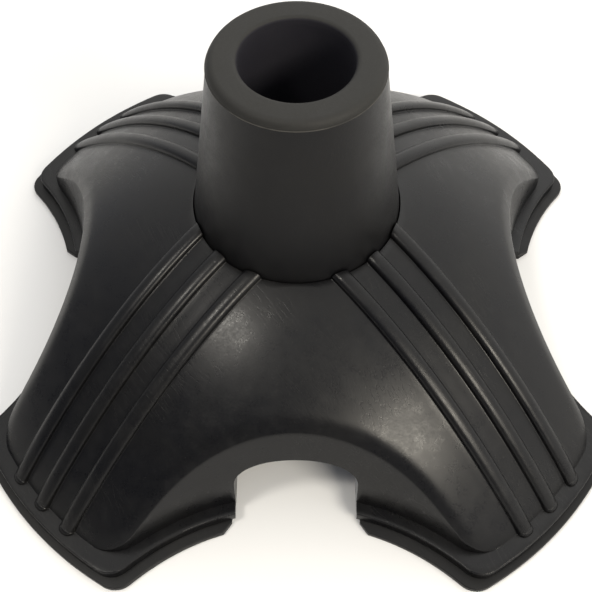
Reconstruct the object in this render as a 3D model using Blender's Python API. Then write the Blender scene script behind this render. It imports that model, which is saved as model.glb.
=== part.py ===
"""Four-footed rubber quad tip for a walking cane.

A domed rubber base stands on four legs that point along the diagonals.  Each leg
carries three raised ribs, ends in a flat flange and is shod with its own tread sole.
A tapered socket for the cane tube sits in the crown on a flexible neck, with a steel
disc in the bottom of the socket to take the load.  Front is -Y, up is +Z, origin on
the ground under the middle.  All dimensions below are in millimetres.
"""
import bpy
import bmesh
from math import asin, atan2, cos, exp, hypot, log, pi, sin, sqrt, tau
from mathutils import Matrix, Vector

MM = 0.001

# ---- overall layout -------------------------------------------------------------
GROUND_TO_RIM = 68.2        # total height, ground to the socket's top face
PIVOT_Z = 32.35             # height of the neck's flexing centre
TURN = 48                   # facets round every turned piece

# ---- plan outline: leg ends are arcs about the middle, sides are scalloped --------
SCALLOP_AT = 89.8           # distance from the middle to the centre of a side scallop
LIP_R, LIP_SCALLOP = 67.1, 42.6          # outline of the tread lip
EDGE_R, EDGE_SCALLOP = 65.9, 44.5        # outline of the flange on top of the foot
CREASE_R, CREASE_SCALLOP = 63.2, 46.7    # where the leg rises from the flange
CORNER_R = 3.0              # rounding of the corners of lip and flange
CREASE_CORNER = 7.0         # rounding where leg end and side wall meet above the flange

# ---- heights --------------------------------------------------------------------
LIP_TOP = 1.25              # thickness of the tread lip
SHELL_FOOT = 1.35           # underside of the rubber base
FLANGE_TOP = 3.5            # flat flange round each foot

# ---- crown and legs ---------------------------------------------------------------
SEAM_R = 18.75              # opening in the crown for the socket
COLUMN_R = 17.6             # surface columns start inside that opening
CROWN_Z = 34.2              # height of the crown at that opening
CROWN_SLOPE, CROWN_CURVE = 0.28, 0.0092  # fall of the crown from the opening outwards
WALL_SLOPE = 7.5            # rise over run of the steep walls above the flange
SHOULDER_DROP, SHOULDER_SLOPE = 1.7, 0.75    # bevel between the walls and the crown
SHOULDER_SOFT, EDGE_SOFT = 0.30, 0.20    # softness of the bevel's upper and lower edge
ARCH_HALF, ARCH_SPRING = 10.7, 9.5       # arch under the middle of each side:
ARCH_TOP, ARCH_POWER = 15.2, 0.8         # straight sides, then a flattened round top

# ---- ribs -------------------------------------------------------------------------
RIB_PITCH, RIB_HALF, RIB_FLAT, RIB_HEIGHT = 6.75, 1.6, 1.1, 1.15
RIB_END = 64.6              # ribs stop on the flange, this far from the middle
RIB_ZONE = 9.4

# ---- hollow underside ---------------------------------------------------------------
RECESS_R, RECESS_TOP, RECESS_DRAFT = 36.0, 18.4, 2.5
WEB_HALF, WEB_BOTTOM = 1.5, 8.0
KEY_GAP = 0.3

# ---- neck and socket ----------------------------------------------------------------
BALL_R = 18.46              # rounded foot of the socket
RING_IN, RING_OUT = 18.76, 20.76
RING_LOW, RING_HIGH = 26.4, 29.8
SEAT_R, SEAT_FLOOR, SEAT_ROOF = 21.06, 22.2, 32.2
BALL_FLAT = 25.0
FOOT_R, FOOT_Z = 18.32, 34.65            # foot of the visible taper
RIM_R, RIM_ROUND = 14.13, 1.42
BORE_R, BORE_FLOOR = 9.25, 30.0
DISC_R, DISC_LOW, DISC_HIGH = 8.9, 30.05, 31.55

# ---- tread soles ----------------------------------------------------------------------
SOLE_INNER_R, SOLE_SIDE = 37.2, 11.3
KEY_INSET, KEY_TOP = 8.3, 4.0
GROOVES, GROOVE_HALF, GROOVE_DEEP = 5, 0.6, 0.8
GROOVE_FIRST, GROOVE_STEP = 42.2, 5.2    # distance of the grooves from the middle
GROOVE_REACH, GROOVE_TAPER = 21.0, 1.6   # half length of the first, and loss per groove


def clear_scene():
    for old in list(bpy.data.objects):
        bpy.data.objects.remove(old, do_unlink=True)


def material(name, colour, roughness, metallic=0.0):
    mat = bpy.data.materials.new(name)
    mat.use_nodes = True
    shader = mat.node_tree.nodes["Principled BSDF"]
    shader.inputs["Base Color"].default_value = (*colour, 1.0)
    shader.inputs["Roughness"].default_value = roughness
    shader.inputs["Metallic"].default_value = metallic
    return mat


def make_object(name, bm, origin=(0.0, 0.0, 0.0), mat=None, smooth=False):
    """Close a bmesh drawn in millimetres into an object with its origin where asked."""
    bmesh.ops.remove_doubles(bm, verts=bm.verts, dist=1e-4)
    bmesh.ops.recalc_face_normals(bm, faces=bm.faces)
    bmesh.ops.translate(bm, verts=bm.verts, vec=-Vector(origin))
    bmesh.ops.scale(bm, verts=bm.verts, vec=(MM, MM, MM))
    mesh = bpy.data.meshes.new(name)
    bm.to_mesh(mesh)
    bm.free()
    obj = bpy.data.objects.new(name, mesh)
    obj.location = Vector(origin) * MM
    bpy.context.scene.collection.objects.link(obj)
    if mat:
        mesh.materials.append(mat)
    for face in mesh.polygons:
        face.use_smooth = smooth
    return obj


def turned(profile, steps=TURN):
    """Spin a closed (radius, height) profile round the upright axis."""
    bm = bmesh.new()
    ring = [bm.verts.new((r, 0.0, z)) for r, z in profile]
    edges = [bm.edges.new(pair) for pair in zip(ring, ring[1:] + ring[:1])
             if not (pair[0].co.x == 0.0 and pair[1].co.x == 0.0)]
    bmesh.ops.spin(bm, geom=ring + edges, cent=(0, 0, 0), axis=(0, 0, 1),
                   angle=tau, steps=steps, use_merge=True)
    return bm


def arc(radius, start, stop, steps):
    """Points of a sphere's outline about the pivot, between two heights."""
    low, high = (asin((z - PIVOT_Z) / radius) for z in (start, stop))
    turns = [low + (high - low) * i / steps for i in range(steps + 1)]
    return [(radius * cos(a), PIVOT_Z + radius * sin(a)) for a in turns]


def slab(outline, low, high):
    """Upright slab over a plan outline."""
    bm = bmesh.new()
    face = bm.faces.new([bm.verts.new((x, y, low)) for x, y in outline])
    grown = bmesh.ops.extrude_face_region(bm, geom=[face])["geom"]
    rise = [v for v in grown if isinstance(v, bmesh.types.BMVert)]
    bmesh.ops.translate(bm, verts=rise, vec=(0, 0, high - low))
    return bm


def boolean(target, cutter, operation):
    cutter.hide_render = True
    cutter.display_type = 'WIRE'
    step = target.modifiers.new(operation.lower(), 'BOOLEAN')
    step.operation = operation
    step.solver = 'EXACT'
    step.object = cutter


# ---- plan outline of one eighth: u runs along a side, v points away from the middle ----
def fillet(tip_r, scallop, corner):
    """Centre of the corner rounding between a leg-end arc and a side scallop."""
    near, far = tip_r - corner, scallop + corner
    v = (near * near + SCALLOP_AT ** 2 - far * far) / (2 * SCALLOP_AT)
    return sqrt(near * near - v * v), v


def on_scallop(u, scallop):
    return u, SCALLOP_AT - sqrt(scallop * scallop - u * u)


def eighth_outline(tip_r, scallop, first_u, stops, counts, corner=CORNER_R):
    """Scallop, rounded corner, leg-end arc and rib zone, as a chain of plan points."""
    cu, cv = fillet(tip_r, scallop, corner)
    lean = atan2(SCALLOP_AT - cv, cu)
    start_u = scallop * cos(lean)
    n_side, n_corner, n_end = counts
    chain = [on_scallop(first_u + (start_u - first_u) * i / n_side, scallop)
             for i in range(n_side)]
    turn_a, turn_b = pi - lean, atan2(cv, cu)
    for i in range(n_corner + 1):
        a = turn_a + (turn_b - turn_a) * i / n_corner
        chain.append((cu + corner * cos(a), cv + corner * sin(a)))
    first = pi / 4 - asin(stops[0] / tip_r)
    last_turn = pi / 2 - turn_b
    for i in range(1, n_end):
        a = last_turn + (first - last_turn) * i / n_end
        chain.append((tip_r * sin(a), tip_r * cos(a)))
    for t in stops:
        a = pi / 4 - asin(t / tip_r)
        chain.append((tip_r * sin(a), tip_r * cos(a)))
    return chain


# ---- upper surface ---------------------------------------------------------------------
def crown(r):
    x = r - SEAM_R
    return CROWN_Z - CROWN_SLOPE * x - CROWN_CURVE * x * x


def inside_crease(u, v):
    """Distance inside the outline where the walls rise from the flange."""
    u, v = min(u, v), max(u, v)
    depth = min(CREASE_R - hypot(u, v), hypot(u, SCALLOP_AT - v) - CREASE_SCALLOP)
    cu, cv = fillet(CREASE_R, CREASE_SCALLOP, CREASE_CORNER)
    if atan2(cv, cu) < atan2(v - cv, u - cu) < pi - atan2(SCALLOP_AT - cv, cu):
        depth = min(depth, CREASE_CORNER - hypot(u - cu, v - cv))
    return depth


def shoulder_gap(u, v):
    """How far below the crown the steep wall stops at this point."""
    return SHOULDER_DROP * (1 - exp(-max(crown(hypot(u, v)) - FLANGE_TOP, 0.0) / 3.0))


def softmin(a, b, k):
    return min(a, b) - k * log(1 + exp(-abs(a - b) / k))


def surface(u, v):
    """Height of crown, shoulder and wall, without ribs."""
    depth = inside_crease(u, v)
    if depth <= 0:
        return FLANGE_TOP
    top = crown(hypot(u, v)) - FLANGE_TOP
    stop = top - shoulder_gap(u, v)
    shoulder = stop + SHOULDER_SLOPE * (depth - stop / WALL_SLOPE)
    return FLANGE_TOP + max(softmin(softmin(top, shoulder, SHOULDER_SOFT), WALL_SLOPE * depth,
                                    EDGE_SOFT), 0.0)


def shoulder_depth(start, end):
    """Distance along a column from the crease to the shoulder's lower edge."""
    length = hypot(end[0] - start[0], end[1] - start[1])
    d = 0.3
    while d < 6.0:
        u, v = (start[k] + (end[k] - start[k]) * d / length for k in (0, 1))
        if WALL_SLOPE * inside_crease(u, v) >= crown(hypot(u, v)) - FLANGE_TOP - shoulder_gap(u, v):
            break
        d += 0.02
    return d


def rib_lift(t):
    """How much a rib raises the surface at a distance t from the leg's centre line."""
    near = min(abs(t), abs(abs(t) - RIB_PITCH))
    if near >= RIB_HALF - 1e-6:
        return 0.0
    return RIB_HEIGHT * min(1.0, (RIB_HALF - near) / (RIB_HALF - RIB_FLAT))


RIB_STOPS = [RIB_ZONE, RIB_PITCH + RIB_HALF, RIB_PITCH + RIB_FLAT,
             RIB_PITCH - RIB_FLAT, RIB_PITCH - RIB_HALF, RIB_HALF, RIB_FLAT, 0.0]
COUNTS = (6, 3, 2)
SHOULDER_ROWS = (0.0, 0.7, 1.5, 2.4)      # past the wall's upper edge, millimetres
INWARD = (0.0, 0.07, 0.19, 0.35, 0.54, 0.76, 1.0)


def eighth_columns():
    """Columns of points from the crown opening to the flange edge, for one eighth."""
    crease = eighth_outline(CREASE_R, CREASE_SCALLOP, 0.0, RIB_STOPS, COUNTS, CREASE_CORNER)
    edge = eighth_outline(EDGE_R, EDGE_SCALLOP, 0.0, RIB_STOPS, COUNTS)
    plain = len(crease) - len(RIB_STOPS)
    zone = pi / 4 - asin(RIB_ZONE / COLUMN_R)
    columns = []
    for j, (c, e) in enumerate(zip(crease, edge)):
        stop = RIB_STOPS[j - plain] if j >= plain else None
        turn = pi / 4 - asin(stop / COLUMN_R) if j >= plain else zone * j / plain
        seam = (COLUMN_R * sin(turn), COLUMN_R * cos(turn))
        lift = rib_lift(stop) if stop is not None else 0.0
        column = []
        length = hypot(seam[0] - c[0], seam[1] - c[1])
        edge_at = shoulder_depth(c, seam)
        last = edge_at + SHOULDER_ROWS[-1]
        steps = [0.0] + [edge_at + d for d in SHOULDER_ROWS[:-1]]
        steps += [last + (length - last) * f for f in INWARD]
        for d in steps[::-1]:
            u, v = (c[k] + (seam[k] - c[k]) * d / length for k in (0, 1))
            column.append((u, v, surface(u, v) + lift))
        reach = (RIB_END - CREASE_R) / (EDGE_R - CREASE_R)
        for f, raised in ((reach * 0.8, 0.45), (reach, 0.0)):
            u, v = (c[k] + (e[k] - c[k]) * f for k in (0, 1))
            column.append((u, v, FLANGE_TOP + lift * raised))
        column.append((*e, FLANGE_TOP))
        columns.append(column)
    return columns


def place(turns, flip, point):
    """Carry a point of the first eighth round the base."""
    u, v, z = point
    if flip:
        u, v = v, u
    c, s = ((1, 0), (0, 1), (-1, 0), (0, -1))[turns]
    return c * u - s * v, s * u + c * v, z


def shell_block():
    """Solid block under the whole upper surface, flat underneath."""
    bm = bmesh.new()
    columns = eighth_columns()
    for turns in range(4):
        for flip in (False, True):
            grid = [[bm.verts.new(place(turns, flip, p)) for p in col] for col in columns]
            for col in grid:
                x, y, _ = col[-1].co
                col.append(bm.verts.new((x, y, SHELL_FOOT)))
                col.insert(0, bm.verts.new((0, 0, CROWN_Z)))
            for left, right in zip(grid, grid[1:]):
                for k in range(len(left) - 1):
                    bm.faces.new((left[k], left[k + 1], right[k + 1], right[k]))
    bmesh.ops.remove_doubles(bm, verts=bm.verts, dist=1e-4)
    bmesh.ops.contextual_create(bm, geom=[e for e in bm.edges if e.is_boundary])
    return bm


# ---- hollows in the base ---------------------------------------------------------------
def arch_outline(steps=5):
    """Straight-sided arch, as (across, up) points, open at the ground."""
    half = [(ARCH_HALF * cos(a) ** ARCH_POWER,
             ARCH_SPRING + (ARCH_TOP - ARCH_SPRING) * sin(a) ** ARCH_POWER)
            for a in (pi / 2 * i / steps for i in range(steps))]
    outline = [(ARCH_HALF, -1.0)] + half + [(0.0, ARCH_TOP)]
    return outline + [(-x, z) for x, z in outline[-2::-1]]


def arch_tunnel(turn):
    """Cutter for the arches on two opposite sides."""
    bm = bmesh.new()
    reach = LIP_R
    face = bm.faces.new([bm.verts.new((x, -reach, z)) for x, z in arch_outline()])
    grown = bmesh.ops.extrude_face_region(bm, geom=[face])["geom"]
    far = [v for v in grown if isinstance(v, bmesh.types.BMVert)]
    bmesh.ops.translate(bm, verts=far, vec=(0, 2 * reach, 0))
    bmesh.ops.rotate(bm, verts=bm.verts, cent=(0, 0, 0), matrix=Matrix.Rotation(turn, 3, 'Z'))
    return bm


def web_outline():
    """Plan of the cross of stiffening webs that ties the legs together."""
    w, reach = WEB_HALF, RECESS_R + 2
    arm = [(w, w), (reach, w), (reach, -w)]
    return [(cos(a) * x - sin(a) * y, sin(a) * x + cos(a) * y)
            for a in (pi / 4 - k * pi / 2 for k in range(4)) for x, y in arm]


def foot_outline(tip_r, scallop, inner_r, side, corner, nick):
    """Plan outline of one foot, leg pointing along +u +v."""
    cu, cv = fillet(tip_r, scallop, corner)
    half = eighth_outline(tip_r, scallop, side, [0.0], (6, 4, 5), corner)
    first = half[0]
    half[0] = (first[0], first[1] - nick)
    half.insert(1, on_scallop(first[0] + nick * 0.9, scallop))
    inner = []
    start, stop = asin(side / inner_r), pi / 4
    for i in range(5):
        a = start + (stop - start) * i / 4
        inner.append((inner_r * sin(a), inner_r * cos(a)))
    half = inner[::-1] + half
    return half[1:] + [(v, u) for u, v in half[-2:0:-1]] + [half[0]]


def foot_at(outline, turns):
    c, s = ((1, 0), (0, 1), (-1, 0), (0, -1))[turns]
    return [(c * u - s * v, s * u + c * v) for u, v in outline]


def key_outline(extra):
    inset = KEY_INSET - extra
    return foot_outline(LIP_R - inset, LIP_SCALLOP + inset, SOLE_INNER_R + 3.8 - extra,
                        SOLE_SIDE + 3.2 - extra, 2.0, 1.2)


# ---- build ------------------------------------------------------------------------------
clear_scene()
rubber = material("moulded_rubber", (0.030, 0.030, 0.032), 0.48)
socket_rubber = material("socket_rubber", (0.026, 0.026, 0.028), 0.52)
neck_rubber = material("neck_rubber", (0.022, 0.022, 0.024), 0.6)
tread_rubber = material("tread_rubber", (0.036, 0.036, 0.037), 0.62)
steel = material("zinc_plated_steel", (0.55, 0.56, 0.57), 0.38, 1.0)

pivot = (0.0, 0.0, PIVOT_Z)

# domed base with legs, ribs, flanges and arches
shell = make_object("base_shell", shell_block(), mat=rubber)
recess = turned([(0, -1.0), (RECESS_R, -1.0), (RECESS_R - RECESS_DRAFT, RECESS_TOP - 3.0),
                 (RECESS_R - RECESS_DRAFT - 3.0, RECESS_TOP), (0, RECESS_TOP)])
boolean(shell, make_object("cut_recess", recess), 'DIFFERENCE')
for number, turn in enumerate((0.0, pi / 2)):
    boolean(shell, make_object(f"cut_arch_{number}", arch_tunnel(turn)), 'DIFFERENCE')
webs = slab(web_outline(), WEB_BOTTOM, RECESS_TOP + 1.5)
boolean(shell, make_object("add_webs", webs), 'UNION')
seat = turned([(0, SEAT_FLOOR)] + arc(SEAT_R, SEAT_FLOOR, SEAT_ROOF, 5)
              + [(SEAM_R, SEAT_ROOF), (SEAM_R, CROWN_Z + 4), (0, CROWN_Z + 4)])
boolean(shell, make_object("cut_seat", seat), 'DIFFERENCE')
for number in range(4):
    pocket = slab(foot_at(key_outline(KEY_GAP), number), 0.0, KEY_TOP + KEY_GAP)
    boolean(shell, make_object(f"cut_pocket_{number}", pocket), 'DIFFERENCE')

# flexible ring of the neck, between the socket's rounded foot and its seat in the crown
ring = turned(arc(RING_OUT, RING_LOW, RING_HIGH, 2) + arc(RING_IN, RING_HIGH, RING_LOW, 2))
flex_ring = make_object("flex_ring", ring, pivot, neck_rubber, smooth=True)

# tapered socket with its blind bore
rim = [(RIM_R - RIM_ROUND * (1 - cos(a)), GROUND_TO_RIM - RIM_ROUND * (1 - sin(a)))
       for a in (0.0, pi / 6, pi / 3, pi / 2)]
profile = ([(0, BALL_FLAT)] + arc(BALL_R, BALL_FLAT, FOOT_Z, 5) + rim
           + [(BORE_R + 0.6, GROUND_TO_RIM), (BORE_R, GROUND_TO_RIM - 0.6),
              (BORE_R, BORE_FLOOR), (0, BORE_FLOOR)])
socket = make_object("socket_collar", turned(profile), pivot, socket_rubber, smooth=True)

# steel disc the cane tube stands on
disc = turned([(0, DISC_LOW), (DISC_R - 0.3, DISC_LOW), (DISC_R, DISC_LOW + 0.3),
               (DISC_R, DISC_HIGH - 0.3), (DISC_R - 0.3, DISC_HIGH), (0, DISC_HIGH)])
make_object("load_disc", disc, (0.0, 0.0, DISC_LOW), steel, smooth=True)

# tread soles: lip plate, locating key above it and cross grooves underneath
sole_outline = foot_outline(LIP_R, LIP_SCALLOP, SOLE_INNER_R, SOLE_SIDE, CORNER_R, 1.6)
feet = ("rear_right", "rear_left", "front_left", "front_right")
for number, where in enumerate(feet):
    sole = make_object(f"tread_sole_{where}", slab(foot_at(sole_outline, number), 0.0, LIP_TOP),
                       mat=tread_rubber)
    key = slab(foot_at(key_outline(0.0), number), LIP_TOP / 2, KEY_TOP)
    boolean(sole, make_object(f"add_key_{number}", key), 'UNION')
    lean = pi / 4 + number * pi / 2
    cuts = bmesh.new()
    for k in range(GROOVES):
        bar = bmesh.ops.create_cube(cuts, size=1.0)["verts"]
        reach = GROOVE_REACH - k * GROOVE_TAPER
        bmesh.ops.scale(cuts, verts=bar, vec=(2 * GROOVE_HALF, 2 * reach, 2 * GROOVE_DEEP))
        bmesh.ops.translate(cuts, verts=bar, vec=(GROOVE_FIRST + k * GROOVE_STEP, 0, 0))
        bmesh.ops.rotate(cuts, verts=bar, cent=(0, 0, 0), matrix=Matrix.Rotation(lean, 3, 'Z'))
    boolean(sole, make_object(f"cut_grooves_{number}", cuts), 'DIFFERENCE')
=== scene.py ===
"""Looks of the rubber quad tip: the moulded base, the socket, the soles and the light.

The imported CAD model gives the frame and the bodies.  Each piece is rebuilt here at a finer
resolution on the same dimensions, with rounded edges, and gets a procedural material.
Shapes are drawn in millimetres, the origin on the ground under the middle of the base, and
are scaled to metres when a mesh is made.
"""
from math import asin, atan, atan2, cos, exp, hypot, log, pi, radians, sin, sqrt, tau

import bmesh
import bpy
from mathutils import Matrix, Vector


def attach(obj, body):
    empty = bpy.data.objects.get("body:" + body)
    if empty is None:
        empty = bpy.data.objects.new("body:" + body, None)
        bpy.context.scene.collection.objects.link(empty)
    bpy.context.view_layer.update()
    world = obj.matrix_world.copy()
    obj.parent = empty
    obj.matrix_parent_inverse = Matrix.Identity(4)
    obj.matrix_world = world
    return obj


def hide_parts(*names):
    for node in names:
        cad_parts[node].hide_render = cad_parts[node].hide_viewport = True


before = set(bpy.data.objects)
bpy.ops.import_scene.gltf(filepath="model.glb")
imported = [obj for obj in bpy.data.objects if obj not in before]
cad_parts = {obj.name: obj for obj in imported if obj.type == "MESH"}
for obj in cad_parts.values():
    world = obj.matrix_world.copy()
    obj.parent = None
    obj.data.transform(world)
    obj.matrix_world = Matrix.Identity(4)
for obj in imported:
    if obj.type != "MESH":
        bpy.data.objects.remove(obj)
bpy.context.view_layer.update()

MM = 0.001

# ---- dimensions shared with the CAD model, millimetres ---------------------------------------
GROUND_TO_RIM, PIVOT_Z = 68.2, 32.35
SCALLOP_AT = 89.8                           # the hollow sides are struck from this far out
LIP_R, LIP_SCALLOP = 67.1, 42.6             # sole's lip: leg-end arc and hollow side
EDGE_R, EDGE_SCALLOP = 65.9, 44.5           # the same for the flange's edge
CREASE_R, CREASE_SCALLOP, CREASE_CORNER = 63.2, 46.7, 7.0      # where the walls rise
LIP_TOP, SHELL_FOOT, FLANGE_TOP = 1.25, 1.35, 3.5
SEAM_R, CROWN_Z = 18.75, 34.2
CROWN_SLOPE, CROWN_CURVE = 0.28, 0.0092
SHOULDER_SLOPE, SHOULDER_SOFT, EDGE_SOFT = 0.75, 0.30, 0.20
ARCH_HALF, ARCH_SPRING, ARCH_TOP, ARCH_POWER = 10.7, 9.5, 15.2, 0.8
RIB_PITCH, RIB_ZONE = 6.75, 9.4
RECESS_R, RECESS_TOP, RECESS_DRAFT = 36.0, 18.4, 2.5
WEB_HALF, WEB_BOTTOM = 1.5, 8.0
BALL_R, BALL_FLAT = 18.46, 25.0
RING_IN, RING_OUT, RING_LOW, RING_HIGH = 18.76, 20.76, 26.4, 29.8
SEAT_R, SEAT_FLOOR, SEAT_ROOF = 21.06, 22.2, 32.2
FOOT_R, FOOT_Z = 18.32, 34.65
RIM_R, RIM_ROUND = 14.13, 1.42
PARTING_Z = GROUND_TO_RIM - RIM_ROUND       # the mould's parting line round the socket
BORE_R, BORE_FLOOR = 9.25, 30.0
DISC_R, DISC_LOW, DISC_HIGH = 8.9, 30.05, 31.55
SOLE_INNER_R, SOLE_SIDE = 37.2, 11.3
GROOVES, GROOVE_HALF, GROOVE_DEEP = 5, 0.6, 0.8
GROOVE_FIRST, GROOVE_STEP, GROOVE_REACH, GROOVE_TAPER = 42.2, 5.2, 21.0, 1.6

# ---- finer shape that only the looks carry, millimetres ----------------------------------------
CORNER_R = 4.0                  # flange and lip corners
WALL_FOOT, WALL_KNEE = 20.0, 6.0            # near upright, up to this height above the flange
WALL_SLOPE, KNEE_SOFT = 5.9, 0.8            # then leaning back a little
SHOULDER_DROP, SHOULDER_FADE = 1.15, 3.0    # bevel above the wall, fading where the leg is low
RIB_HALF, RIB_HEIGHT, RIB_POWER = 1.5, 1.25, 2 / 2.35
RIB_FILLET, RIB_FOOT = 0.10, 1.72           # height and reach of the fillet at a rib's foot
RIB_LEAN_RUN = 5.0              # ribs turn upright over this distance from the seam
NOSE_GROWTH, NOSE_POWER = 0.18, 1.4         # swell of a rib's blunt end on to the flange
SEAM_OPEN, SEAM_ROUND = 18.53, 0.12         # the crown's edge, close round the socket's foot
SEAM_TOP_R = SEAM_OPEN + SEAM_ROUND
THROAT_Z = 33.0                 # the seam's straight throat reaches down to here
EDGE_ROUND = 0.28               # rounding of the flange's outer edge
FOOT_CHAMFER = 0.15             # chamfer under the flange, above the sole
SOLE_NICK = 1.6                 # cut corner of a sole beside an arch

# ---- rows and columns of the base's mesh -------------------------------------------------------
SIDE_COLUMNS, CORNER_COLUMNS, END_COLUMNS = 30, 10, 9
WALL_ROWS = (0.0, 0.05, 0.15, 0.3, 0.5, 0.7, 0.85)
EDGE_ROWS = (-0.14, -0.08, -0.04, 0.0, 0.04, 0.08, 0.14, 0.22, 0.35, 0.6, 0.9, 1.2, 1.5, 1.8, 2.1,
             2.4, 2.8, 3.3, 4.0, 5.0)
FAR_ROWS, NOSE_ROWS = 28, 7
DIAGONAL = sqrt(0.5)            # share of a step along a leg that falls on each plan axis


# ---- mesh helpers ------------------------------------------------------------------------------
def new_object(name, verts, faces, smooth_angle=34.0):
    """Closed mesh object from points in millimetres, smooth up to an edge angle."""
    mesh = bpy.data.meshes.new(name)
    mesh.from_pydata([(x * MM, y * MM, z * MM) for x, y, z in verts], [], faces)
    bm = bmesh.new()
    bm.from_mesh(mesh)
    bmesh.ops.remove_doubles(bm, verts=bm.verts, dist=2e-6)
    bmesh.ops.dissolve_degenerate(bm, edges=bm.edges, dist=1e-7)
    bmesh.ops.recalc_face_normals(bm, faces=bm.faces)
    bm.to_mesh(mesh)
    bm.free()
    obj = bpy.data.objects.new(name, mesh)
    bpy.context.scene.collection.objects.link(obj)
    smooth(obj, smooth_angle)
    return obj


def smooth(obj, angle):
    for face in obj.data.polygons:
        face.use_smooth = True
    obj.data.set_sharp_from_angle(angle=radians(angle))


def loft(name, rings, smooth_angle=34.0):
    """Closed solid through matching rings of points, capped at both ends."""
    n = len(rings[0])
    verts = [point for ring in rings for point in ring]
    faces = [tuple(range(n)), tuple(range(len(verts) - n, len(verts)))]
    for k in range(len(rings) - 1):
        faces += [(k * n + i, k * n + (i + 1) % n, (k + 1) * n + (i + 1) % n, (k + 1) * n + i)
                  for i in range(n)]
    return new_object(name, verts, faces, smooth_angle)


def lathe(name, profile, steps, smooth_angle=34.0):
    """Spin a closed (radius, height) profile round the upright axis."""
    verts, faces = [], []
    rows = len(profile)
    for i in range(steps):
        a = tau * i / steps
        verts += [(r * cos(a), r * sin(a), z) for r, z in profile]
    for i in range(steps):
        here, there = i * rows, (i + 1) % steps * rows
        for k in range(rows):
            n = (k + 1) % rows
            if profile[k][0] == 0.0 and profile[n][0] == 0.0:
                continue
            faces.append((here + k, there + k, there + n, here + n))
    return new_object(name, verts, faces, smooth_angle)


def bend(centre, radius, start, stop, steps):
    """Arc in the (radius, height) plane, angles in degrees from the outward direction."""
    turns = [radians(start + (stop - start) * i / steps) for i in range(steps + 1)]
    return [(centre[0] + radius * cos(a), centre[1] + radius * sin(a)) for a in turns]


def ball_arc(radius, start, stop, steps):
    """Points of a sphere's outline about the pivot, between two heights."""
    low, high = (asin((z - PIVOT_Z) / radius) for z in (start, stop))
    turns = [low + (high - low) * i / steps for i in range(steps + 1)]
    return [(radius * cos(a), PIVOT_Z + radius * sin(a)) for a in turns]


def spun(x, y, angle):
    """Plan point turned about the middle."""
    return cos(angle) * x - sin(angle) * y, sin(angle) * x + cos(angle) * y


def between(a, b, share):
    """Plan point part of the way from a to b."""
    return tuple(a[k] + (b[k] - a[k]) * share for k in (0, 1))


def combine(obj, others, operation, smooth_angle=34.0):
    """Boolean obj with some closed meshes, and drop them."""
    group = bpy.data.collections.new("operands")
    for other in others:
        group.objects.link(other)
    step = obj.modifiers.new(operation, 'BOOLEAN')
    step.operation = operation
    step.solver = 'EXACT'
    step.operand_type = 'COLLECTION'
    step.collection = group
    bpy.context.view_layer.update()
    graph = bpy.context.evaluated_depsgraph_get()
    mesh = bpy.data.meshes.new_from_object(obj.evaluated_get(graph), depsgraph=graph)
    obj.modifiers.remove(step)
    obj.data = mesh
    for other in others:
        bpy.data.objects.remove(other)
    bpy.data.collections.remove(group)
    smooth(obj, smooth_angle)
    return obj


# ---- plan outline of one eighth: u runs along a side, v points away from the middle ------------
def fillet(tip_r, scallop, corner):
    """Centre of the rounded corner between a leg's end and a hollow side."""
    near, far = tip_r - corner, scallop + corner
    v = (near * near + SCALLOP_AT ** 2 - far * far) / (2 * SCALLOP_AT)
    return sqrt(near * near - v * v), v


def on_scallop(u, scallop):
    """Plan point of a hollow side at distance u from the side's middle."""
    return u, SCALLOP_AT - sqrt(scallop * scallop - u * u)


def eighth_outline(tip_r, scallop, first_u, stops, counts, corner=CORNER_R):
    """Scallop, rounded corner, leg-end arc and rib zone, as a chain of plan points."""
    cu, cv = fillet(tip_r, scallop, corner)
    lean = atan2(SCALLOP_AT - cv, cu)
    start_u = scallop * cos(lean)
    n_side, n_corner, n_end = counts
    chain = [on_scallop(first_u + (start_u - first_u) * i / n_side, scallop)
             for i in range(n_side)]
    turn_a, turn_b = pi - lean, atan2(cv, cu)
    for i in range(n_corner + 1):
        a = turn_a + (turn_b - turn_a) * i / n_corner
        chain.append((cu + corner * cos(a), cv + corner * sin(a)))
    first = pi / 4 - asin(stops[0] / tip_r)
    last_turn = pi / 2 - turn_b
    for i in range(1, n_end):
        a = last_turn + (first - last_turn) * i / n_end
        chain.append((tip_r * sin(a), tip_r * cos(a)))
    for t in stops:
        a = pi / 4 - asin(t / tip_r)
        chain.append((tip_r * sin(a), tip_r * cos(a)))
    return chain


def place(turns, flip, point):
    """Carry a point of the first eighth round the base."""
    u, v, z = point
    if flip:
        u, v = v, u
    c, s = ((1, 0), (0, 1), (-1, 0), (0, -1))[turns]
    return c * u - s * v, s * u + c * v, z


# ---- upper surface of the base -----------------------------------------------------------------
def crown(r):
    """Height of the crown and the legs' backs at a distance from the middle."""
    x = r - SEAM_R
    return CROWN_Z - CROWN_SLOPE * x - CROWN_CURVE * x * x


def crown_lean(r):
    """Tilt of the crown's normal away from upright."""
    return atan(CROWN_SLOPE + 2 * CROWN_CURVE * max(r - SEAM_R, 0.0))


def inside_crease(u, v):
    """Distance inside the outline where the walls rise from the flange."""
    u, v = min(u, v), max(u, v)
    depth = min(CREASE_R - hypot(u, v), hypot(u, SCALLOP_AT - v) - CREASE_SCALLOP)
    cu, cv = fillet(CREASE_R, CREASE_SCALLOP, CREASE_CORNER)
    if atan2(cv, cu) < atan2(v - cv, u - cu) < pi - atan2(SCALLOP_AT - cv, cu):
        depth = min(depth, CREASE_CORNER - hypot(u - cu, v - cv))
    return depth


def shoulder_gap(u, v):
    """How far below the crown the steep wall stops at this point."""
    return SHOULDER_DROP * (1 - exp(-max(crown(hypot(u, v)) - FLANGE_TOP, 0.0)
                                    / SHOULDER_FADE))


def softmin(a, b, k):
    """The smaller of two heights, rounded over a distance k where they meet."""
    return min(a, b) - k * log(1 + exp(-abs(a - b) / k))


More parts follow.
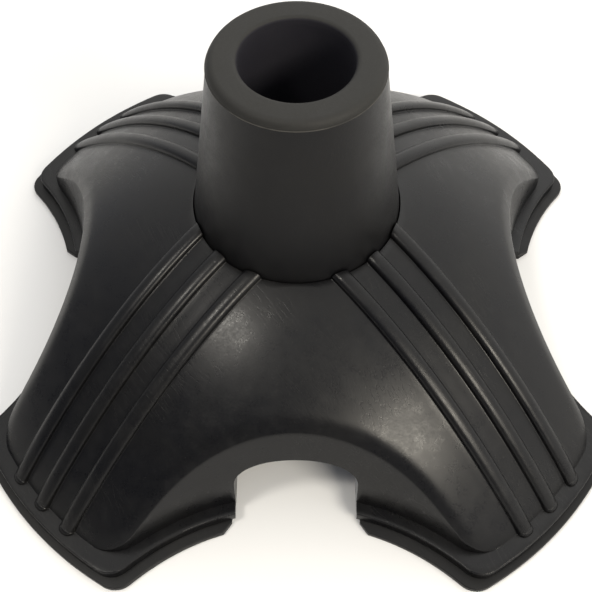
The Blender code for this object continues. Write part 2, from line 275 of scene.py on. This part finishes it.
def wall(depth):
    """Height of a side wall: near upright at its foot, leaning back above the knee."""
    above_knee = WALL_KNEE + WALL_SLOPE * (depth - WALL_KNEE / WALL_FOOT)
    return softmin(WALL_FOOT * depth, above_knee, KNEE_SOFT)


def surface(u, v):
    """Height of crown, shoulder and wall, without ribs."""
    depth = inside_crease(u, v)
    if depth <= 0:
        return FLANGE_TOP
    top = crown(hypot(u, v)) - FLANGE_TOP
    stop = top - shoulder_gap(u, v)
    foot = max((stop - WALL_KNEE) / WALL_SLOPE, 0.0) + min(stop, WALL_KNEE) / WALL_FOOT
    shoulder = stop + SHOULDER_SLOPE * (depth - foot)
    return FLANGE_TOP + max(softmin(softmin(top, shoulder, SHOULDER_SOFT), wall(depth),
                                    EDGE_SOFT), 0.0)


def shoulder_depth(start, end):
    """Distance along a column from the crease to the shoulder's lower edge."""
    length = hypot(end[0] - start[0], end[1] - start[1])
    depth, limit, step = 0.25, 6.0, 0.02
    while depth < limit:
        u, v = between(start, end, depth / length)
        if wall(inside_crease(u, v)) >= crown(hypot(u, v)) - FLANGE_TOP - shoulder_gap(u, v):
            break
        depth += step
    return depth


def rib_section(steps=12):
    """(distance from a rib's middle, lift) down to the fillet at its foot."""
    turns = [pi / 2 * i / steps for i in range(steps)]
    section = [(RIB_HALF * sin(a) ** RIB_POWER,
                RIB_FILLET + (RIB_HEIGHT - RIB_FILLET) * cos(a) ** RIB_POWER) for a in turns]
    section.append((RIB_HALF, RIB_FILLET))
    return section + [(RIB_HALF + 0.04, 0.05), (RIB_HALF + 0.11, 0.015), (RIB_FOOT, 0.0)]


def rib_columns():
    """(distance from the leg's centre line, lift) across half a leg, outside in."""
    section = rib_section()
    outer = [(RIB_PITCH + a, h) for a, h in section[::-1]]
    inner = [(RIB_PITCH - a, h) for a, h in section[1:]]
    valley = [(RIB_PITCH / 2 + d, 0.0) for d in (0.85, 0.0, -0.85)]
    return [(RIB_ZONE, 0.0)] + outer + inner + valley + section[::-1]


def crown_points(crease, seam, lift):
    """A column's points from the crease up the wall and over the crown to the seam."""
    length = hypot(seam[0] - crease[0], seam[1] - crease[1])
    edge_at = shoulder_depth(crease, seam)
    steps = [edge_at * f for f in WALL_ROWS] + [edge_at + d for d in EDGE_ROWS]
    steps += [steps[-1] + (length - steps[-1]) * (i + 1) / FAR_ROWS for i in range(FAR_ROWS)]
    points = []
    for d in steps:
        u, v = between(crease, seam, d / length)
        z = surface(u, v)
        if lift:
            r = hypot(u, v)
            lean = crown_lean(r) * min(1.0, max(0.0, (r - SEAM_TOP_R) / RIB_LEAN_RUN))
            out = lift * sin(lean) * DIAGONAL
            u, v, z = u + out, v + out, z + lift * cos(lean)
        points.append((u, v, z))
    return points


def seam_points(turn, top):
    """Rounded edge at the seam, its throat, the seat's roof and the round seat."""
    turns = [radians(d) for d in (25, 50, 75, 90)]
    chain = [(SEAM_TOP_R - SEAM_ROUND * sin(a), top - SEAM_ROUND * (1 - cos(a))) for a in turns]
    chain += [(SEAM_OPEN, THROAT_Z), (SEAM_OPEN, SEAT_ROOF + 0.1), (SEAM_R, SEAT_ROOF),
              (SEAT_R, SEAT_ROOF)]
    chain += ball_arc(SEAT_R, SEAT_ROOF, SEAT_FLOOR, 8)[1:] + [(0.0, SEAT_FLOOR)]
    return [(r * sin(turn), r * cos(turn), z) for r, z in chain]


def end_points(crease, edge, lift):
    """A rib's blunt end or plain flange, the flange's rounded edge, and down to the sole."""
    width = hypot(edge[0] - crease[0], edge[1] - crease[1])
    lean = crown_lean(CREASE_R)
    points = []
    for k in range(1, NOSE_ROWS + 1):
        f = k / NOSE_ROWS
        if lift:
            a = lean + (pi / 2 - lean) * f
            size = lift * (1 + NOSE_GROWTH * sin(pi / 2 * f) ** NOSE_POWER)
            out = size * sin(a) * DIAGONAL
            points.append((crease[0] + out, crease[1] + out, FLANGE_TOP + size * cos(a)))
        else:
            points.append((*between(crease, edge, 0.35 * f / width), FLANGE_TOP))
    start, goal = points[-1][:2], between(crease, edge, 1 - EDGE_ROUND / width)
    points += [(*between(start, goal, f), FLANGE_TOP) for f in (0.35, 0.7, 1.0)]
    for a in (radians(d) for d in (30, 60, 90)):
        share = 1 - EDGE_ROUND * (1 - sin(a)) / width
        points.append((*between(crease, edge, share), FLANGE_TOP - EDGE_ROUND * (1 - cos(a))))
    points += [(*edge, SHELL_FOOT + 0.9), (*edge, SHELL_FOOT + FOOT_CHAMFER)]
    points.append((*between(crease, edge, 1 - FOOT_CHAMFER / width), SHELL_FOOT))
    return points


def shell_columns():
    """Columns of points from the seat's middle, over the crown and down to the ground."""
    ribs = rib_columns()
    stops = [t for t, _ in ribs]
    counts = (SIDE_COLUMNS, CORNER_COLUMNS, END_COLUMNS)
    creases = eighth_outline(CREASE_R, CREASE_SCALLOP, 0.0, stops, counts, CREASE_CORNER)
    edges = eighth_outline(EDGE_R, EDGE_SCALLOP, 0.0, stops, counts)
    plain = len(creases) - len(stops)
    zone = pi / 4 - asin(RIB_ZONE / SEAM_TOP_R)
    columns = []
    for j, (crease, edge) in enumerate(zip(creases, edges)):
        stop, lift = ribs[j - plain] if j >= plain else (None, 0.0)
        turn = pi / 4 - asin(stop / SEAM_TOP_R) if j >= plain else zone * j / plain
        seam = (SEAM_TOP_R * sin(turn), SEAM_TOP_R * cos(turn))
        column = crown_points(crease, seam, lift)
        column += seam_points(turn, column[-1][2])
        columns.append(column[::-1] + end_points(crease, edge, lift) + [(0.0, 0.0, SHELL_FOOT)])
    return columns


def shell_block():
    """The base's outside, without its arches and recess: eight mirrored eighths."""
    columns = shell_columns()
    verts, faces = [], []
    rows = len(columns[0])
    for turns in range(4):
        for flip in (False, True):
            base = len(verts)
            for column in columns:
                verts += [place(turns, flip, p) for p in column]
            for j in range(len(columns) - 1):
                for k in range(rows - 1):
                    a, b = base + j * rows + k, base + (j + 1) * rows + k
                    face = (a, a + 1, b + 1, b)
                    faces.append(face[::-1] if flip else face)
    return new_object("base_moulding", verts, faces)


def arch_tunnel(name, turn, steps=24):
    """Cutter for the arches on two opposite sides."""
    half = [(ARCH_HALF * cos(a) ** ARCH_POWER,
             ARCH_SPRING + (ARCH_TOP - ARCH_SPRING) * sin(a) ** ARCH_POWER)
            for a in (pi / 2 * i / steps for i in range(steps))]
    outline = [(ARCH_HALF, -1.0)] + half + [(0.0, ARCH_TOP)]
    outline += [(-x, z) for x, z in outline[-2::-1]]
    return loft(name, [[(*spun(x, y, turn), z) for x, z in outline] for y in (-LIP_R, LIP_R)])


def webs():
    """The two crossed webs under the crown, along the legs' sides."""
    reach = RECESS_R + 2.0
    arm = [(WEB_HALF, WEB_HALF), (reach, WEB_HALF), (reach, -WEB_HALF)]
    outline = [spun(x, y, pi / 4 - k * pi / 2) for k in range(4) for x, y in arm]
    heights = (WEB_BOTTOM, RECESS_TOP + 1.5)
    return loft("add_webs", [[(x, y, z) for x, y in outline] for z in heights])


def build_base():
    shell = shell_block()
    side, bend_r = RECESS_R - RECESS_DRAFT, 3.0
    recess = ([(0.0, -1.0), (RECESS_R, -1.0)]
              + bend((side - bend_r, RECESS_TOP - bend_r), bend_r, 0, 90, 8)
              + [(0.0, RECESS_TOP)])
    cutters = [lathe("cut_recess", recess, 128)]
    cutters += [arch_tunnel(f"cut_arch_{n}", n * pi / 2) for n in range(2)]
    combine(shell, cutters, 'DIFFERENCE')
    combine(shell, [webs()], 'UNION')
    return shell


# ---- tread soles -------------------------------------------------------------------------------
def foot_outline():
    """Plan outline of one sole, leg pointing along +u +v."""
    half = eighth_outline(LIP_R, LIP_SCALLOP, SOLE_SIDE, [0.0], (26, 10, 18))
    u, v = half[0]
    nick_u = u + SOLE_NICK * 0.9
    half = [(u, v - SOLE_NICK), on_scallop(nick_u, LIP_SCALLOP)] + \
        [p for p in half[1:] if p[0] > nick_u]
    start, stop = asin(SOLE_SIDE / SOLE_INNER_R), pi / 4
    inner = [(SOLE_INNER_R * sin(a), SOLE_INNER_R * cos(a))
             for a in (start + (stop - start) * i / 12 for i in range(13))]
    half = inner[::-1] + half
    return half[1:] + [(v, u) for u, v in half[-2:0:-1]] + [half[0]]


def inset_outline(outline, amount):
    """Move every side of a closed outline inwards."""
    n = len(outline)
    area = sum(outline[i][0] * outline[(i + 1) % n][1] - outline[(i + 1) % n][0] * outline[i][1]
               for i in range(n))
    sign = 1 if area > 0 else -1
    moved = []
    for i in range(n):
        a, b, c = (Vector(outline[(i + k) % n]) for k in (-1, 0, 1))
        n1 = Vector((-(b - a).y, (b - a).x)).normalized() * sign
        n2 = Vector((-(c - b).y, (c - b).x)).normalized() * sign
        mid = (n1 + n2).normalized()
        moved.append(tuple(b + mid * amount / max(mid.dot(n1), 0.4)))
    return moved


def groove(number, lean):
    """Cutter for one groove across a sole, its bottom corners rounded."""
    section = [(-0.85, -0.5), (0.85, -0.5), (GROOVE_HALF + 0.02, 0.12), (GROOVE_HALF - 0.05, 0.62),
               (0.3, GROOVE_DEEP), (-0.3, GROOVE_DEEP), (0.05 - GROOVE_HALF, 0.62),
               (-0.02 - GROOVE_HALF, 0.12)]
    reach = GROOVE_REACH - number * GROOVE_TAPER
    at = GROOVE_FIRST + number * GROOVE_STEP
    return loft(f"cut_groove_{number}",
                [[(*spun(at + x, y, lean), z) for x, z in section] for y in (-reach, reach)])


def build_sole(where, turns):
    rings = ((0.25, 0.0), (0.08, 0.06), (0.03, 0.22), (0.03, 0.6), (0.03, 0.92),
             (0.05, 1.09), (0.16, 1.21), (0.34, LIP_TOP))       # (inset, height)
    outline = foot_outline()
    sole = loft(f"tread_{where}",
                [[place(turns, False, (u, v, z)) for u, v in inset_outline(outline, inset)]
                 for inset, z in rings], 30.0)
    lean = pi / 4 + turns * pi / 2
    return combine(sole, [groove(n, lean) for n in range(GROOVES)], 'DIFFERENCE', 30.0)


# ---- socket, ring and disc ---------------------------------------------------------------------
def build_socket():
    cone = [(FOOT_R + (RIM_R - FOOT_R) * f, FOOT_Z + (PARTING_Z - FOOT_Z) * f)
            for f in (0.02, 0.05, 0.1, 0.2, 0.35, 0.5, 0.65, 0.8, 0.9, 0.96)]
    flash = [(RIM_R + 0.01, PARTING_Z - 0.11), (RIM_R + 0.13, PARTING_Z - 0.04),
             (RIM_R + 0.13, PARTING_Z + 0.03), (RIM_R + 0.01, PARTING_Z + 0.10)]
    shoulder = [(RIM_R - RIM_ROUND * (1 - cos(a)), PARTING_Z + RIM_ROUND * sin(a))
                for a in (radians(d) for d in range(10, 91, 8))]
    mouth = [(BORE_R + 0.9 - 0.9 * sin(a), GROUND_TO_RIM - 0.7 * (1 - cos(a)))
             for a in (radians(d) for d in range(0, 91, 10))]
    bore = [(BORE_R, 60.0), (BORE_R, 50.0), (BORE_R, 40.0), (BORE_R, BORE_FLOOR + 0.3),
            (BORE_R - 0.3, BORE_FLOOR), (0.0, BORE_FLOOR)]
    ball = [(0.0, BALL_FLAT), (13.0, BALL_FLAT)] + ball_arc(BALL_R, BALL_FLAT, FOOT_Z, 18)
    return lathe("socket_moulding", ball + cone + flash + shoulder + mouth + bore, 176, 40.0)


def build_ring():
    profile = (ball_arc(RING_OUT, RING_LOW, RING_HIGH, 6)
               + ball_arc(RING_IN, RING_HIGH, RING_LOW, 6))
    return lathe("neck_ring", profile, 128)


def build_disc():
    r, low, high, corner = DISC_R, DISC_LOW, DISC_HIGH, 0.3
    edge = (bend((r - corner, low + corner), corner, -60, 0, 3)
            + bend((r - corner, high - corner), corner, 0, 90, 4))
    turned_ring = [(6.2, high), (6.0, high - 0.12), (5.8, high - 0.12), (5.6, high)]
    centre_dimple = [(1.1, high), (0.8, high - 0.25), (0.0, high - 0.3)]
    profile = [(0.0, low), (r - corner, low)] + edge + turned_ring + centre_dimple
    return lathe("steel_disc", profile, 96)


# ---- materials: noise scales are per millimetre -------------------------------------------------
BORE_PAINTED_LIGHT_COLOUR = (0.0105, 0.0100, 0.0135)     # painted light: the bore coloured paler, standing in for light that reaches down into it
RIM_PAINTED_LIGHT_COLOUR = (0.0135, 0.0132, 0.0120)      # painted light: the rim's matt top face coloured lighter, as if lit from above
FLASH_PAINTED_HIGHLIGHT_COLOUR = (0.036, 0.034, 0.030)       # painted highlight: a thin pale line painted along the parting line's flash ridge
SCRATCH_COLOUR = (0.020, 0.0195, 0.018)
DUST_COLOUR = (0.05, 0.048, 0.045)
RUBBER_SPECULAR = 0.2                      # soft rubber reflects less than hard plastic


def tree_of(name):
    mat = bpy.data.materials.new(name)
    mat.use_nodes = True
    return mat, mat.node_tree


def add(tree, kind, inputs=None, **attributes):
    """Add a node; inputs are constants or output sockets to link."""
    made = tree.nodes.new(kind)
    for key, value in attributes.items():
        setattr(made, key, value)
    for key, value in (inputs or {}).items():
        socket = made.inputs[key]
        if isinstance(value, bpy.types.NodeSocket):
            tree.links.new(value, socket)
        else:
            socket.default_value = value
    return made


def ramp(tree, source, low, high, to_low=0.0, to_high=1.0):
    """Smooth step of a value from one range to another."""
    return add(tree, 'ShaderNodeMapRange', {0: source, 1: low, 2: high, 3: to_low, 4: to_high},
               clamp=True, interpolation_type='SMOOTHSTEP').outputs[0]


def maths(tree, operation, a, b=0.0):
    return add(tree, 'ShaderNodeMath', {0: a, 1: b}, operation=operation).outputs[0]


def times(tree, a, b):
    return maths(tree, 'MULTIPLY', a, b)


def total(tree, first, *others):
    for other in others:
        first = maths(tree, 'ADD', first, other)
    return first


def millimetres(tree):
    """Place on the piece, in millimetres."""
    where = add(tree, 'ShaderNodeTexCoord').outputs['Object']
    return add(tree, 'ShaderNodeVectorMath', {0: where, 'Scale': 1 / MM},
               operation='SCALE').outputs[0]


def noise(tree, where, scale, detail=3.0, roughness=0.55, distortion=0.0):
    return add(tree, 'ShaderNodeTexNoise',
               {'Vector': where, 'Scale': scale, 'Detail': detail, 'Roughness': roughness,
                'Distortion': distortion}).outputs['Fac']


def stretched(tree, where, turn, scale):
    """Place measured along turned axes, each with its own length."""
    return add(tree, 'ShaderNodeMapping',
               {'Vector': where, 'Rotation': (0.0, 0.0, radians(turn)), 'Scale': scale},
               vector_type='TEXTURE').outputs[0]


def mix_colour(tree, share, a, b):
    """Colour a, with a share of colour b laid over it."""
    made = add(tree, 'ShaderNodeMix', data_type='RGBA')
    for socket, value in ((made.inputs[0], share), (made.inputs[6], a), (made.inputs[7], b)):
        if isinstance(value, bpy.types.NodeSocket):
            tree.links.new(value, socket)
        else:
            socket.default_value = value if isinstance(value, float) else (*value, 1.0)
    return made.outputs[2]


def scratches_on(tree, at):
    """Hair-fine scratches in two directions, gathered in patches."""
    families = []
    for turn, lengths, patch_scale in ((-50, (9.0, 0.75, 2.0), 0.055),
                                       (-66, (12.0, 0.90, 2.0), 0.07)):
        streak = noise(tree, stretched(tree, at, turn, lengths), 1.0, 2.0, 0.4)
        off = maths(tree, 'ABSOLUTE', maths(tree, 'SUBTRACT', streak, 0.5))
        gathered = ramp(tree, noise(tree, at, patch_scale, 1.0), 0.52, 0.66)
        families.append(times(tree, ramp(tree, off, 0.010, 0.040, 1.0, 0.0), gathered))
    return maths(tree, 'MAXIMUM', *families)


def socket_zones(tree, at, patch):
    """Where the socket's bore, rim face and parting line are, as three masks."""
    flat = add(tree, 'ShaderNodeVectorMath', {0: at, 1: (1.0, 1.0, 0.0)},
               operation='MULTIPLY').outputs[0]
    out = add(tree, 'ShaderNodeVectorMath', {0: flat}, operation='LENGTH').outputs['Value']
    height = add(tree, 'ShaderNodeSeparateXYZ', {0: at}).outputs['Z']
    off = maths(tree, 'ABSOLUTE', maths(tree, 'SUBTRACT', height, PARTING_Z))
    # the bore mask carries painted light: a paler colour inside the bore, as if lit down inside
    inside = ramp(tree, out, BORE_R + 0.02, BORE_R + 0.28, 1.0, 0.0)
    rim = ramp(tree, height, PARTING_Z - 0.05, PARTING_Z + 0.05)
    # the flash mask carries a painted highlight: a thin pale line along the parting line
    flash = times(tree, ramp(tree, off, 0.05, 0.12, 1.0, 0.0), ramp(tree, patch, 0.35, 0.6, 0.2, 1.0))
    return inside, rim, flash


def rubber(name, dark, light, rough, grain, scratches, dust, bore=False):
    """Moulded rubber: mottled colour, satin patches, fine grain, scratches and dust."""
    mat, tree = tree_of(name)
    shader = tree.nodes["Principled BSDF"]
    shader.inputs["Specular IOR Level"].default_value = RUBBER_SPECULAR
    at = millimetres(tree)
    cloud = noise(tree, at, 0.06, 4.0, 0.6, 0.4)
    patch = noise(tree, at, 0.35, 4.0, 0.6)
    fine = noise(tree, at, 2.6, 4.0, 0.6)
    pores = noise(tree, at, 9.0, 2.0, 0.5)
    lines = times(tree, scratches_on(tree, at), scratches)
    specks = times(tree, ramp(tree, noise(tree, at, 3.3, 1.0), 0.70, 0.76), dust)
    worn = ramp(tree, add(tree, 'ShaderNodeNewGeometry').outputs['Pointiness'], 0.52, 0.60)
    bloom = tuple(c * 1.8 + 0.002 for c in light)
    layers = [(ramp(tree, cloud, 0.35, 0.68), light),
              (times(tree, ramp(tree, patch, 0.50, 0.75), 0.22), bloom),
              (times(tree, worn, 0.35), bloom),
              (times(tree, lines, 0.12), SCRATCH_COLOUR),
              (times(tree, specks, 0.5), DUST_COLOUR)]
    roughness = [ramp(tree, patch, 0.3, 0.7, -0.03, 0.04), ramp(tree, cloud, 0.3, 0.7, -0.02, 0.02),
                 ramp(tree, fine, 0.3, 0.7, -0.03, 0.04), times(tree, specks, 0.2),
                 times(tree, lines, -0.05)]
    if bore:
        inside, rim, flash = socket_zones(tree, at, patch)
        # painted light: the upward rim face coloured lighter, unevenly, where light from above falls
        # on it
        uneven_rim_painted_light = times(tree, rim, ramp(tree, patch, 0.2, 0.7, 0.75, 1.0))
        # painted light on the rim face and in the bore, and a painted highlight along the parting
        # line
        layers += [(uneven_rim_painted_light, RIM_PAINTED_LIGHT_COLOUR), (flash, FLASH_PAINTED_HIGHLIGHT_COLOUR), (inside, BORE_PAINTED_LIGHT_COLOUR)]
        roughness += [times(tree, rim, 0.26), times(tree, inside, 0.30)]
    colour = dark
    for share, over in layers:
        colour = mix_colour(tree, share, colour, over)
    tree.links.new(colour, shader.inputs["Base Color"])
    tree.links.new(total(tree, *roughness, rough), shader.inputs["Roughness"])
    relief = total(tree, fine, times(tree, pores, 0.35), times(tree, patch, 0.25),
                   times(tree, lines, -0.7))
    bump = add(tree, 'ShaderNodeBump', {'Height': relief, 'Strength': 1.0,
                                        'Distance': grain * MM})
    tree.links.new(bump.outputs[0], shader.inputs["Normal"])
    return mat


def turned_steel(name):
    """Zinc-plated steel with turning rings, dull patches and a little grime."""
    mat, tree = tree_of(name)
    shader = tree.nodes["Principled BSDF"]
    shader.inputs["Metallic"].default_value = 1.0
    at = millimetres(tree)
    rings = add(tree, 'ShaderNodeTexWave',
                {'Vector': at, 'Scale': 2.4, 'Distortion': 0.6, 'Detail': 2.0},
                wave_type='RINGS', rings_direction='Z').outputs['Fac']
    patch = noise(tree, at, 0.5, 5.0, 0.6)
    colour = mix_colour(tree, ramp(tree, patch, 0.3, 0.75), (0.50, 0.51, 0.52), (0.30, 0.295, 0.28))
    tree.links.new(colour, shader.inputs["Base Color"])
    rough = total(tree, ramp(tree, rings, 0.0, 1.0, 0.30, 0.42),
                  ramp(tree, patch, 0.3, 0.8, 0.0, 0.2))
    tree.links.new(rough, shader.inputs["Roughness"])
    bump = add(tree, 'ShaderNodeBump', {'Height': rings, 'Strength': 0.6, 'Distance': 0.01 * MM})
    tree.links.new(bump.outputs[0], shader.inputs["Normal"])
    return mat


# ---- pieces on their bodies --------------------------------------------------------------------
def show(obj, body, node, mat):
    obj.data.materials.clear()
    obj.data.materials.append(mat)
    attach(obj, body)
    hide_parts(node)


base_rubber = rubber("base_rubber_look", (0.0020, 0.0020, 0.0025), (0.0031, 0.0030, 0.0031),
                     rough=0.315, grain=0.008, scratches=1.0, dust=0.30)
socket_rubber = rubber("socket_rubber_look", (0.0021, 0.0021, 0.0026), (0.0032, 0.0031, 0.0032),
                       rough=0.37, grain=0.007, scratches=0.5, dust=0.20, bore=True)
neck_rubber = rubber("neck_rubber_look", (0.0022, 0.0022, 0.0025), (0.0034, 0.0034, 0.0036),
                     rough=0.55, grain=0.008, scratches=0.0, dust=0.20)
tread_rubber = rubber("tread_rubber_look", (0.0020, 0.0020, 0.0022), (0.0036, 0.0034, 0.0033),
                      rough=0.46, grain=0.012, scratches=0.6, dust=0.50)

show(build_base(), "base", "base_shell", base_rubber)
for turns, where in enumerate(("rear_right", "rear_left", "front_left", "front_right")):
    show(build_sole(where, turns), "base", f"tread_sole_{where}", tread_rubber)
show(build_ring(), "neck", "flex_ring", neck_rubber)
show(build_socket(), "socket", "socket_collar", socket_rubber)
show(build_disc(), "socket", "load_disc", turned_steel("turned_steel_look"))


# ---- floor, light and camera -------------------------------------------------------------------
FLOOR_HALF, FLOOR_Z = 1500.0, -0.05         # millimetres; just clear of the soles
WORLD_BRIGHT_SIDE = (0.55, 0.62, 0.45)
WORLD_DIM, WORLD_BRIGHT = 0.26, 1.95
FILM_WIDTH, LENS_TO_FILM = 36.0, 1.720878   # film in millimetres; the lens in film widths
LENS_SHIFT = -0.1114865                     # framing of a picture cut above its middle


def build_floor():
    half, z = FLOOR_HALF, FLOOR_Z
    floor = new_object("studio_floor", [(-half, -half, z), (half, -half, z), (half, half, z),
                                        (-half, half, z)], [(0, 1, 2, 3)])
    mat, tree = tree_of("studio_paper")
    shader = tree.nodes["Principled BSDF"]
    shader.inputs["Base Color"].default_value = (0.56, 0.56, 0.56, 1.0)
    shader.inputs["Roughness"].default_value = 0.9
    shader.inputs["Specular IOR Level"].default_value = 0.2
    # clear from below, and clear to the lamp that stands under it
    see_through = maths(tree, 'MAXIMUM', add(tree, 'ShaderNodeNewGeometry').outputs['Backfacing'],
                        add(tree, 'ShaderNodeLightPath').outputs['Is Shadow Ray'])
    clear = add(tree, 'ShaderNodeBsdfTransparent').outputs[0]
    either = add(tree, 'ShaderNodeMixShader', {0: see_through, 1: shader.outputs[0], 2: clear})
    tree.links.new(either.outputs[0], tree.nodes["Material Output"].inputs["Surface"])
    floor.data.materials.append(mat)


def build_world():
    """Soft room: bright behind and to the right, dim in front and on the left, dark below."""
    world = bpy.data.worlds.new("studio")
    bpy.context.scene.world = world
    world.use_nodes = True
    tree = world.node_tree
    sky = tree.nodes["Background"]
    way = add(tree, 'ShaderNodeTexCoord').outputs['Generated']
    toward = add(tree, 'ShaderNodeVectorMath', {0: way, 1: WORLD_BRIGHT_SIDE},
                 operation='DOT_PRODUCT').outputs['Value']
    above = ramp(tree, add(tree, 'ShaderNodeSeparateXYZ', {0: way}).outputs['Z'], -0.02, 0.0)
    level = ramp(tree, toward, -0.6, 0.9, WORLD_DIM, WORLD_BRIGHT)
    tree.links.new(times(tree, level, above), sky.inputs["Strength"])
    tree.links.new(mix_colour(tree, ramp(tree, toward, -0.6, 0.6), (0.84, 0.88, 1.0),
                              (1.0, 0.985, 0.95)), sky.inputs["Color"])


def area_light(name, azimuth, elevation, distance, size, power, colour=(1.0, 1.0, 1.0)):
    """Soft box that looks at the object. Azimuth 0 is behind it (+Y), 90 to the right (+X)."""
    a, e = radians(azimuth), radians(elevation)
    way = Vector((sin(a) * cos(e), cos(a) * cos(e), sin(e)))
    lamp = bpy.data.lights.new(name, 'AREA')
    lamp.shape = 'RECTANGLE'
    lamp.size, lamp.size_y = size
    lamp.energy = power
    lamp.color = colour
    obj = bpy.data.objects.new(name, lamp)
    aim = Vector((0.0, 0.0, 0.02))
    obj.location = aim + way * distance
    obj.rotation_euler = (-way).to_track_quat('-Z', 'Y').to_euler()
    bpy.context.scene.collection.objects.link(obj)


def build_lights():
    area_light("soft_box_left", -120, 64, 1.0, (0.15, 0.15), 4.2, (1.0, 0.95, 0.86))
    area_light("soft_box_right", 140, 34, 1.0, (0.46, 0.22), 10.0, (1.0, 0.93, 0.80))
    area_light("overhead", 15, 50, 1.6, (1.2, 1.0), 4.0)
    area_light("underside_fill", -30, -62, 0.8, (0.5, 0.5), 5.0)


def build_camera():
    """Camera in front of and above the object, looking down at it."""
    camera = bpy.data.cameras.new("camera")
    obj = bpy.data.objects.new("camera", camera)
    bpy.context.scene.collection.objects.link(obj)
    bpy.context.scene.camera = obj
    pitch, yaw, roll = radians(52.53), radians(-0.30), radians(-0.10)
    eye = Vector((0.000467, -0.115907, 0.176013))
    look = Vector((sin(yaw) * cos(pitch), cos(yaw) * cos(pitch), -sin(pitch)))
    side = look.cross(Vector((0, 0, 1))).normalized()
    rise = side.cross(look)
    across = cos(roll) * side + sin(roll) * rise
    upward = cos(roll) * rise - sin(roll) * side
    axes = Matrix((across, upward, -look)).transposed().to_4x4()
    obj.matrix_world = Matrix.Translation(eye) @ axes
    camera.sensor_width = FILM_WIDTH
    camera.lens = FILM_WIDTH * LENS_TO_FILM
    camera.shift_y = LENS_SHIFT
    camera.clip_start = 0.001
    camera.clip_end = 20.0


build_floor()
build_world()
build_lights()
build_camera()
bpy.context.scene.view_settings.view_transform = 'Standard'
